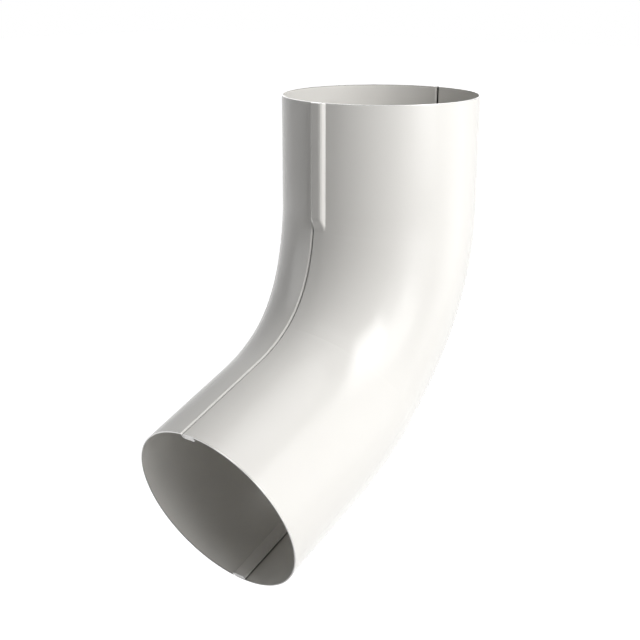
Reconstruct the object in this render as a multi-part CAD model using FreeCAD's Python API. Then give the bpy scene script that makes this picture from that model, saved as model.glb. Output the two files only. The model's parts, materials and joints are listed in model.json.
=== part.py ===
# Round sheet-steel downspout elbow, made of two pressed half shells
#
# The upper end is a straight socket around the Z axis, and its rim is centred on the origin.
# The tube bends towards -Y, narrows on the way, and ends in a straight spigot.
# The two half shells meet in the plane of the bend, at the throat and at the heel,
# where their hems hook into each other. In the socket the folded seam stands outside the wall,
# so that a pipe fits inside. From the bend on it lies inside, so that the spigot fits into a pipe.

import FreeCAD, Part
import math
import os

# Driving sizes, in millimetres and degrees

SHEET = 0.55                 # thickness of the painted sheet
SOCKET_BORE_RADIUS = 44.0    # inside of the socket
SPIGOT_RADIUS = 41.5         # outside of the spigot
SOCKET_LENGTH = 49.0
SPIGOT_LENGTH = 50.5
BEND_RADIUS = 101.5          # of the centre line
BEND_ANGLE = 70.0
CHANGE_ANGLE = 6.5           # the first part of the bend, in which the seam moves inwards
NARROWING_END = 50.0         # where the tube, which narrows from there on, has the spigot's size

FOLD_GAP = 0.08              # play between two layers of the seam
GROOVE = 0.2                 # more play between a hem's round edge and the other shell's step
RIGHT_HEM_REACH_SOCKET = 3.6  # how far the right shell's hem reaches past the plane of the bend
RIGHT_HEM_REACH_SPIGOT = 3.3  # the same from the bend on
LEFT_HEM_REACH_SOCKET = 1.7  # how far the left shell's hem reaches past it, along the socket
LEFT_HEM_REACH_SPIGOT = 3.2  # and from the bend on
RIGHT_STEP_END = 3.35        # where the right shell's step over the seam meets its wall
RIGHT_STEP_CREST = 1.5       # bending radius at the top of that step, soft because it is pressed
RIGHT_STEP_FOOT = 0.4        # bending radius at its foot
LEFT_STEP_WIDTH = 1.7        # width of the left shell's step under the seam
LEFT_STEP_CREST = 0.4        # bending radius where that step leaves the wall

CHANGE_PIECES = 4            # spans between the sections drawn in the change of the seam
NARROWING_PIECES = 4         # and where the tube narrows
STEP_PIECES = 5              # short pieces across each step of the sheet
OUTER_HEM_PIECES = 4         # and around a hem, on its outer face
INNER_HEM_PIECES = 2         # and on its inner face

# Sizes that follow from them

HALF_SHEET = SHEET / 2
PITCH = SHEET + FOLD_GAP
STACK = 3 * PITCH
HEM_OUTER = PITCH + HALF_SHEET
HEM_INNER = PITCH - HALF_SHEET
SOCKET_WALL = SOCKET_BORE_RADIUS + HALF_SHEET
SPIGOT_WALL = SPIGOT_RADIUS - HALF_SHEET

X_AXIS = FreeCAD.Vector(1, 0, 0)
PIVOT = FreeCAD.Vector(0, -BEND_RADIUS, -SOCKET_LENGTH)
RIGHT, LEFT = 1, -1
THROAT, HEEL = -1, 1


def ease(share):
    """Goes from 0 to 1 with level ends."""
    share = min(max(share, 0.0), 1.0)
    return share * share * (3 - 2 * share)


def blend(start, end, share):
    return start + (end - start) * share


class Station:
    """A cross-section of the tube: its centre, the direction of the heel, its wall and its seam."""

    def __init__(self, angle):
        turn = math.radians(angle)
        self.heel = FreeCAD.Vector(0, math.cos(turn), -math.sin(turn))
        self.forward = FreeCAD.Vector(0, -math.sin(turn), -math.cos(turn))
        self.centre = PIVOT + self.heel * BEND_RADIUS
        narrowed = ease((angle - CHANGE_ANGLE) / (NARROWING_END - CHANGE_ANGLE))
        self.wall = blend(SOCKET_WALL, SPIGOT_WALL, narrowed)
        self.outside = 1 - ease(angle / CHANGE_ANGLE)

    def point(self, side, seam, across, radius):
        """A point at a distance across from a seam, measured along the wall on that side's shell."""
        angle = across / self.wall
        return (self.centre + X_AXIS * (side * radius * math.sin(angle))
                + self.heel * (seam * radius * math.cos(angle)))

    def tangent(self, side, seam, across):
        angle = across / self.wall
        return X_AXIS * (side * math.cos(angle)) - self.heel * (seam * math.sin(angle))


def step_line(width, depth, run_bend, wall_bend):
    """Points (across, height, slope) on a step of the sheet: a bend, a straight slope, a bend back."""
    bends = run_bend + wall_bend
    reach = math.hypot(width, bends - depth)
    slope = math.asin(bends / reach) - math.atan2(bends - depth, width)
    straight = math.sqrt(reach * reach - bends * bends)
    length = bends * slope + straight
    points = []
    for i in range(STEP_PIECES + 1):
        gone = length * i / STEP_PIECES
        left = length - gone
        if gone < run_bend * slope:
            turned = gone / run_bend
            points.append((run_bend * math.sin(turned), depth - run_bend * (1 - math.cos(turned)), turned))
        elif left < wall_bend * slope:
            turned = left / wall_bend
            points.append((width - wall_bend * math.sin(turned), wall_bend * (1 - math.cos(turned)), turned))
        else:
            down = gone - run_bend * slope
            points.append((run_bend * math.sin(slope) + down * math.cos(slope),
                           depth - run_bend * (1 - math.cos(slope)) - down * math.sin(slope), slope))
    return points


class Flange:
    """One shell's edge at one seam: the step in its wall, the run across the seam and the hem.

    Where the run lies in the wall, the step can be left out.
    """

    def __init__(self, station, side, seam, stepped):
        self.station, self.side, self.seam, self.stepped = station, side, seam, stepped
        left_hem = blend(LEFT_HEM_REACH_SPIGOT, LEFT_HEM_REACH_SOCKET, station.outside) - HEM_OUTER
        right_hem = blend(RIGHT_HEM_REACH_SPIGOT, RIGHT_HEM_REACH_SOCKET, station.outside) - HEM_OUTER
        if side == RIGHT:
            self.turn = -1
            self.level = STACK * station.outside
            self.hem, self.lap_end = right_hem, left_hem
            self.step_start = left_hem + GROOVE
            self.step_width = RIGHT_STEP_END - self.step_start
            self.run_bend = blend(2 * PITCH, RIGHT_STEP_CREST, station.outside)
            self.wall_bend = RIGHT_STEP_FOOT
        else:
            self.turn = 1
            self.level = -STACK * (1 - station.outside)
            self.hem, self.lap_end = left_hem, right_hem
            self.step_start = right_hem + GROOVE
            self.step_width = LEFT_STEP_WIDTH
            self.run_bend = 2 * PITCH
            self.wall_bend = LEFT_STEP_CREST

    def at(self, across, height):
        return self.station.point(self.side, self.seam, across, self.station.wall + height)

    def arc(self, start, end):
        """An arc along the wall between two points, each given by its distance across and its height."""
        middle = ((start[0] + end[0]) / 2, (start[1] + end[1]) / 2)
        return [self.at(*start), self.at(*middle), self.at(*end)]

    def step(self, face):
        """The step on one face of the sheet, from the wall to the run."""
        way = -1 if self.level < 0 else 1
        points = []
        for across, height, slope in step_line(self.step_width, abs(self.level), self.run_bend, self.wall_bend):
            across += self.step_start + way * face * math.sin(slope)
            points.append((across, way * height + face * math.cos(slope)))
        points.reverse()
        return [self.arc(p, q) for p, q in zip(points, points[1:])]

    def run(self, face):
        """The step and the run on one face of the sheet, from the wall to the hem."""
        height = self.level + face
        if not self.stepped:
            return []
        return self.step(face) + [self.arc((self.step_start, height), (-self.hem, height))]

    def hem_bend(self, radius, pieces):
        """Half a turn around the hem, from the run to the return, in short straight pieces."""
        middle = self.station.wall + self.level + self.turn * PITCH
        centre = self.station.point(self.side, self.seam, -self.hem, middle)
        out = self.station.point(self.side, self.seam, -self.hem, middle + 1) - centre
        past = self.station.tangent(self.side, self.seam, -self.hem) * -1
        points = []
        for i in range(pieces + 1):
            turned = math.pi * i / pieces
            points.append(centre - out * (self.turn * radius * math.cos(turned))
                          + past * (radius * math.sin(turned)))
        return [[p, q] for p, q in zip(points, points[1:])]

    def lap(self, face):
        """The return on one face of the sheet, from the hem to its free edge."""
        height = self.level + self.turn * 2 * PITCH + face
        return [self.arc((-self.hem, height), (self.lap_end, height))]

    def outline(self):
        """The flange's outline from the wall's outer face around the hem to the wall's inner face."""
        face = self.turn * HALF_SHEET
        outer = self.run(-face) + self.hem_bend(HEM_OUTER, OUTER_HEM_PIECES) + self.lap(face)
        inner = self.run(face) + self.hem_bend(HEM_INNER, INNER_HEM_PIECES) + self.lap(-face)
        free_edge = [[outer[-1][-1], inner[-1][-1]]]
        around = outer + free_edge + backwards(inner)
        return around if self.side == RIGHT else backwards(around)

    def wall_end(self):
        return self.step_start + self.step_width if self.stepped else -self.hem


def backwards(curves):
    return [points[::-1] for points in reversed(curves)]


def edge(points):
    return Part.makeLine(*points) if len(points) == 2 else Part.Arc(*points).toShape()


def wall_arc(station, side, start, face):
    """The shell's wall on one face, from the throat to the heel."""
    radius = station.wall + face
    middle = station.centre + X_AXIS * (side * radius)
    return [[station.point(side, THROAT, start, radius), middle,
             station.point(side, HEEL, start, radius)]]


def section(station, side, stepped):
    """The closed outline of one half shell at a station."""
    throat, heel = Flange(station, side, THROAT, stepped), Flange(station, side, HEEL, stepped)
    curves = wall_arc(station, side, heel.wall_end(), HALF_SHEET) + heel.outline()
    curves += backwards(wall_arc(station, side, heel.wall_end(), -HALF_SHEET)) + backwards(throat.outline())
    return Part.Wire([edge(points) for points in curves])


def straight(angle, side, stepped, length):
    """A straight part that starts at an angle of the bend and, with a length below 0, runs back."""
    station = Station(angle)
    return Part.Face(section(station, side, stepped)).extrude(station.forward * length)


def turned(start, end, side, stepped):
    """A part of the bend in which the section stays the same."""
    face = Part.Face(section(Station(start), side, stepped))
    return face.revolve(PIVOT, X_AXIS * -1, end - start)


def changing(start, end, spans, side, stepped):
    """A part of the bend in which the section changes."""
    stations = [Station(blend(start, end, i / spans)) for i in range(spans + 1)]
    return Part.makeLoft([section(s, side, stepped) for s in stations], True, False)


def half_shell(side):
    """One half shell: in the socket the right one has the steps, and from the bend on the left one."""
    before, after = side == RIGHT, side == LEFT
    socket = straight(0, side, before, -SOCKET_LENGTH)
    parts = [
        changing(0, CHANGE_ANGLE, CHANGE_PIECES, side, True),
        changing(CHANGE_ANGLE, NARROWING_END, NARROWING_PIECES, side, after),
        turned(NARROWING_END, BEND_ANGLE, side, after),
        straight(BEND_ANGLE, side, after, SPIGOT_LENGTH),
    ]
    return socket.fuse(parts).removeSplitter().Solids[0]


os.makedirs("parts", exist_ok=True)
half_shell(RIGHT).exportStep("parts/right_half_shell.step")
half_shell(LEFT).exportStep("parts/left_half_shell.step")
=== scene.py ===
# Looks of the round sheet-steel downspout elbow: semi-gloss white paint in soft studio light
import json
import math

import bpy
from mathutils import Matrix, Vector

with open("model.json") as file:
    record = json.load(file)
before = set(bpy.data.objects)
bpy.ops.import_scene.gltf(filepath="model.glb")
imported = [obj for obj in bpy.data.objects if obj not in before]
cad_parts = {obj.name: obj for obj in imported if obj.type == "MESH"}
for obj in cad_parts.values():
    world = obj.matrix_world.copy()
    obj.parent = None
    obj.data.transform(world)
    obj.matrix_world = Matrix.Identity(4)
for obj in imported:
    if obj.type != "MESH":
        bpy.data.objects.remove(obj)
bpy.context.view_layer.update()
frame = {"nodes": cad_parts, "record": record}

# Lengths are in metres, angles in degrees, powers in watts, colours linear.
# An azimuth and an elevation say where a thing stands as seen from the elbow:
# azimuth 0 is towards -Y and azimuth 90 towards +X.

MIDDLE = Vector((-0.00215, -0.04131, -0.09696))  # what the camera and the lamps face

# Camera at the photograph's angle
CAMERA_AZIMUTH = 38.32
CAMERA_ELEVATION = 17.77
CAMERA_DISTANCE = 0.4849
CAMERA_CLIP_START = 0.01
FOCAL_LENGTH = 60.56     # in millimetres, as the sensor's width
SENSOR_WIDTH = 36.0

# Paint: a warm white, slightly uneven in tone and gloss, with fine orange peel
PAINT_IOR = 1.5
TONE_LOW = (0.788, 0.772, 0.738, 1.0)
TONE_HIGH = (0.808, 0.792, 0.758, 1.0)
TONE_SCALE = 18.0        # patches along a metre
TONE_DETAIL = 3.0
ROUGHNESS_LOW = 0.18
ROUGHNESS_HIGH = 0.22
GLOSS_SCALE = 45.0
GLOSS_DETAIL = 4.0
NOISE_LOW = 0.3          # the middle of the noise's range, which is spread from low to high
NOISE_HIGH = 0.7
PEEL_SCALE = 900.0
PEEL_DETAIL = 2.0
PEEL_STRENGTH = 0.04
PEEL_HEIGHT = 0.0002

# Painted shade in the crevices: the paint's tone is darkened in the folds and the groove, where the sheet
# lies close to itself
CREVICE_REACH = 0.0015   # how close that is
CREVICE_SHADE_TONE = 0.15      # share of the paint's tone that is left deep in a crevice
CREVICE_DEEP = 0.2       # openness, from 0 to 1, that counts as deep
CREVICE_END = 0.75       # and from which on the tone is whole

# Bare zinc on the cut ends of the sheet, in the planes of the socket's rim and the spigot's mouth
ZINC_TONE = (0.46, 0.455, 0.45, 1.0)
CUT_WEAR = 0.0003        # how far from those planes the paint starts to thin out
CUT_CLEAR = 0.0001       # and from where on it is gone

# Soft boxes around the elbow: azimuth, elevation, distance, width, height and power
SOFT_BOXES = {
    "wall": (98.0, 17.0, 3.0, 3.0, 3.0, 31.0),
    "key": (91.0, 18.0, 1.2, 0.5, 1.0, 4.0),
    "key_upper": (76.0, 31.0, 1.2, 0.5, 0.6, 5.2),
    "right_front": (70.0, 10.0, 1.2, 0.5, 0.8, 1.2),
    "right_back": (135.0, 5.0, 1.2, 0.6, 1.0, 1.8),
    "overhead_front": (30.0, 72.0, 1.2, 0.9, 0.9, 1.8),
    "overhead_back": (138.0, 74.0, 1.2, 0.7, 0.7, 1.6),
    "left_front": (-61.0, 14.0, 1.2, 0.6, 0.6, 1.4),
    "left_low": (-88.0, -26.0, 1.2, 0.95, 0.6, 2.3),
    "back_low": (150.0, -15.0, 1.2, 0.8, 0.8, 0.6),
    "back_left": (-158.0, 22.0, 1.5, 1.2, 1.2, 5.0),
}

# Floor, well below the elbow, which hangs by its socket
FLOOR_HEIGHT = -0.95
FLOOR_WIDTH = 30.0
FLOOR_TONE = 0.9
FLOOR_ROUGHNESS = 0.9
NEAR_GLOW = 0.2          # glow under the elbow, faint, so that the light and the shadow there show
NEAR_RADIUS = 0.3
FAR_GLOW = 1.0           # and further away, where it looks white
FAR_RADIUS = 0.95


def grey(value):
    return value, value, value, 1.0


def combined(tree, operation, first, second):
    """Two values put together by a Math node."""
    node = tree.nodes.new("ShaderNodeMath")
    node.operation = operation
    tree.links.new(first, node.inputs[0])
    tree.links.new(second, node.inputs[1])
    return node.outputs["Value"]


def fade(tree, value, start, end, low=0.0, high=1.0, kind="LINEAR"):
    """Goes from low to high while the value goes from start to end."""
    node = tree.nodes.new("ShaderNodeMapRange")
    node.interpolation_type = kind
    node.inputs["From Min"].default_value = start
    node.inputs["From Max"].default_value = end
    node.inputs["To Min"].default_value = low
    node.inputs["To Max"].default_value = high
    tree.links.new(value, node.inputs["Value"])
    return node.outputs["Result"]


def noise(tree, place, scale, detail):
    node = tree.nodes.new("ShaderNodeTexNoise")
    node.inputs["Scale"].default_value = scale
    node.inputs["Detail"].default_value = detail
    tree.links.new(place, node.inputs["Vector"])
    return node.outputs["Fac"]


def uneven(tree, patches, low, high):
    """A colour that wanders between low and high with the noise."""
    node = tree.nodes.new("ShaderNodeValToRGB")
    lower, upper = node.color_ramp.elements
    lower.position = NOISE_LOW
    lower.color = low
    upper.position = NOISE_HIGH
    upper.color = high
    tree.links.new(patches, node.inputs["Fac"])
    return node.outputs["Color"]


def painted_shade_in_crevices(tree, tone):
    # Painted shade: the paint's tone is darkened where the occlusion node finds the sheet close around,
    # which stands in for the shade in the folds and the groove
    openness = tree.nodes.new("ShaderNodeAmbientOcclusion")
    openness.inputs["Distance"].default_value = CREVICE_REACH
    left = fade(tree, openness.outputs["AO"], CREVICE_DEEP, CREVICE_END, low=CREVICE_SHADE_TONE)
    mix = tree.nodes.new("ShaderNodeMix")
    mix.data_type = "RGBA"
    mix.blend_type = "MULTIPLY"
    mix.inputs["Factor"].default_value = 1.0
    tree.links.new(tone, mix.inputs["A"])
    tree.links.new(left, mix.inputs["B"])
    return mix.outputs["Result"]


def cut_ends(tree, place):
    """1 where the sheet was cut, at the rim and at the mouth, and 0 on the painted faces."""
    shares = []
    for mount in frame["record"]["mounts"]:
        outwards = Vector(mount["axis"])
        end = outwards.dot(Vector(mount["pos_m"]))
        along = tree.nodes.new("ShaderNodeVectorMath")
        along.operation = "DOT_PRODUCT"
        along.inputs[1].default_value = outwards
        tree.links.new(place, along.inputs[0])
        shares.append(fade(tree, along.outputs["Value"], end - CUT_WEAR, end - CUT_CLEAR))
    rim, mouth = shares
    return combined(tree, "MAXIMUM", rim, mouth)


def zinc_where_bare(tree, tone, bare):
    mix = tree.nodes.new("ShaderNodeMix")
    mix.data_type = "RGBA"
    mix.inputs["B"].default_value = ZINC_TONE
    tree.links.new(bare, mix.inputs["Factor"])
    tree.links.new(tone, mix.inputs["A"])
    return mix.outputs["Result"]


def orange_peel(tree, place):
    bump = tree.nodes.new("ShaderNodeBump")
    bump.inputs["Strength"].default_value = PEEL_STRENGTH
    bump.inputs["Distance"].default_value = PEEL_HEIGHT
    tree.links.new(noise(tree, place, PEEL_SCALE, PEEL_DETAIL), bump.inputs["Height"])
    return bump.outputs["Normal"]


def paint():
    """Semi-gloss white paint on sheet, which is bare at its cut ends."""
    material = bpy.data.materials.new("white_paint")
    material.use_nodes = True
    tree = material.node_tree
    shader = tree.nodes["Principled BSDF"]
    shader.inputs["IOR"].default_value = PAINT_IOR
    place = tree.nodes.new("ShaderNodeTexCoord").outputs["Object"]
    tone_patches = noise(tree, place, TONE_SCALE, TONE_DETAIL)
    gloss_patches = noise(tree, place, GLOSS_SCALE, GLOSS_DETAIL)
    tone = uneven(tree, tone_patches, TONE_LOW, TONE_HIGH)
    roughness = uneven(tree, gloss_patches, grey(ROUGHNESS_LOW), grey(ROUGHNESS_HIGH))
    bare = cut_ends(tree, place)
    # The paint's tone with painted shade in the crevices, then bare zinc on the cut ends
    colour = zinc_where_bare(tree, painted_shade_in_crevices(tree, tone), bare)
    tree.links.new(colour, shader.inputs["Base Color"])
    tree.links.new(bare, shader.inputs["Metallic"])
    tree.links.new(roughness, shader.inputs["Roughness"])
    tree.links.new(orange_peel(tree, place), shader.inputs["Normal"])
    return material


def dress(material):
    """Gives the material to both half shells."""
    for node in frame["nodes"].values():
        for slot in node.material_slots:
            slot.link = "OBJECT"
            slot.material = material


def seen_directly(tree):
    """1 for rays of the camera, of a reflection or through glass, and 0 for rays that gather light."""
    path = tree.nodes.new("ShaderNodeLightPath")
    share = path.outputs["Is Camera Ray"]
    for kind in ("Is Glossy Ray", "Is Transmission Ray"):
        share = combined(tree, "MAXIMUM", share, path.outputs[kind])
    return share


def floor_glow(tree):
    """How much the floor glows where it is seen: little under the elbow, and white further away."""
    place = tree.nodes.new("ShaderNodeTexCoord")
    distance = tree.nodes.new("ShaderNodeVectorMath")
    distance.operation = "LENGTH"
    tree.links.new(place.outputs["Object"], distance.inputs[0])
    glow = fade(tree, distance.outputs["Value"], NEAR_RADIUS, FAR_RADIUS, NEAR_GLOW, FAR_GLOW, "SMOOTHSTEP")
    return combined(tree, "MULTIPLY", seen_directly(tree), glow)


def floor():
    """A wide pale floor, which takes the light and the elbow's shadow and glows where it is seen."""
    bpy.ops.mesh.primitive_plane_add(size=FLOOR_WIDTH, location=(0, 0, FLOOR_HEIGHT))
    plane = bpy.context.object
    plane.name = "floor"
    material = bpy.data.materials.new("floor")
    material.use_nodes = True
    tree = material.node_tree
    shader = tree.nodes["Principled BSDF"]
    shader.inputs["Base Color"].default_value = grey(FLOOR_TONE)
    shader.inputs["Roughness"].default_value = FLOOR_ROUGHNESS
    glow = tree.nodes.new("ShaderNodeEmission")
    tree.links.new(floor_glow(tree), glow.inputs["Strength"])
    both = tree.nodes.new("ShaderNodeAddShader")
    tree.links.new(shader.outputs["BSDF"], both.inputs[0])
    tree.links.new(glow.outputs["Emission"], both.inputs[1])
    tree.links.new(both.outputs["Shader"], tree.nodes["Material Output"].inputs["Surface"])
    plane.data.materials.append(material)


def surroundings():
    """White where they are seen, and no light of their own."""
    world = bpy.data.worlds.new("studio")
    bpy.context.scene.world = world
    world.use_nodes = True
    tree = world.node_tree
    background = tree.nodes["Background"]
    background.inputs["Color"].default_value = grey(1.0)
    tree.links.new(seen_directly(tree), background.inputs["Strength"])


def face_elbow(name, data, azimuth, elevation, distance):
    """Sets up a lamp or a camera at this place around the elbow, turned to its middle."""
    holder = bpy.data.objects.new(name, data)
    bpy.context.scene.collection.objects.link(holder)
    turn, rise = math.radians(azimuth), math.radians(elevation)
    away = Vector((math.sin(turn) * math.cos(rise), -math.cos(turn) * math.cos(rise), math.sin(rise)))
    holder.location = MIDDLE + away * distance
    holder.rotation_euler = away.to_track_quat("Z", "Y").to_euler()
    return holder


def soft_box(name, azimuth, elevation, distance, width, height, power):
    lamp = bpy.data.lights.new(name, "AREA")
    lamp.shape = "RECTANGLE"
    lamp.size, lamp.size_y = width, height
    lamp.energy = power
    face_elbow(name, lamp, azimuth, elevation, distance)


def camera():
    data = bpy.data.cameras.new("photo_view")
    data.sensor_width = SENSOR_WIDTH
    data.lens = FOCAL_LENGTH
    data.clip_start = CAMERA_CLIP_START
    bpy.context.scene.camera = face_elbow(
        "photo_view", data, CAMERA_AZIMUTH, CAMERA_ELEVATION, CAMERA_DISTANCE)


dress(paint())
floor()
surroundings()
for name, values in SOFT_BOXES.items():
    soft_box(name, *values)
camera()
bpy.context.scene.view_settings.view_transform = "Standard"
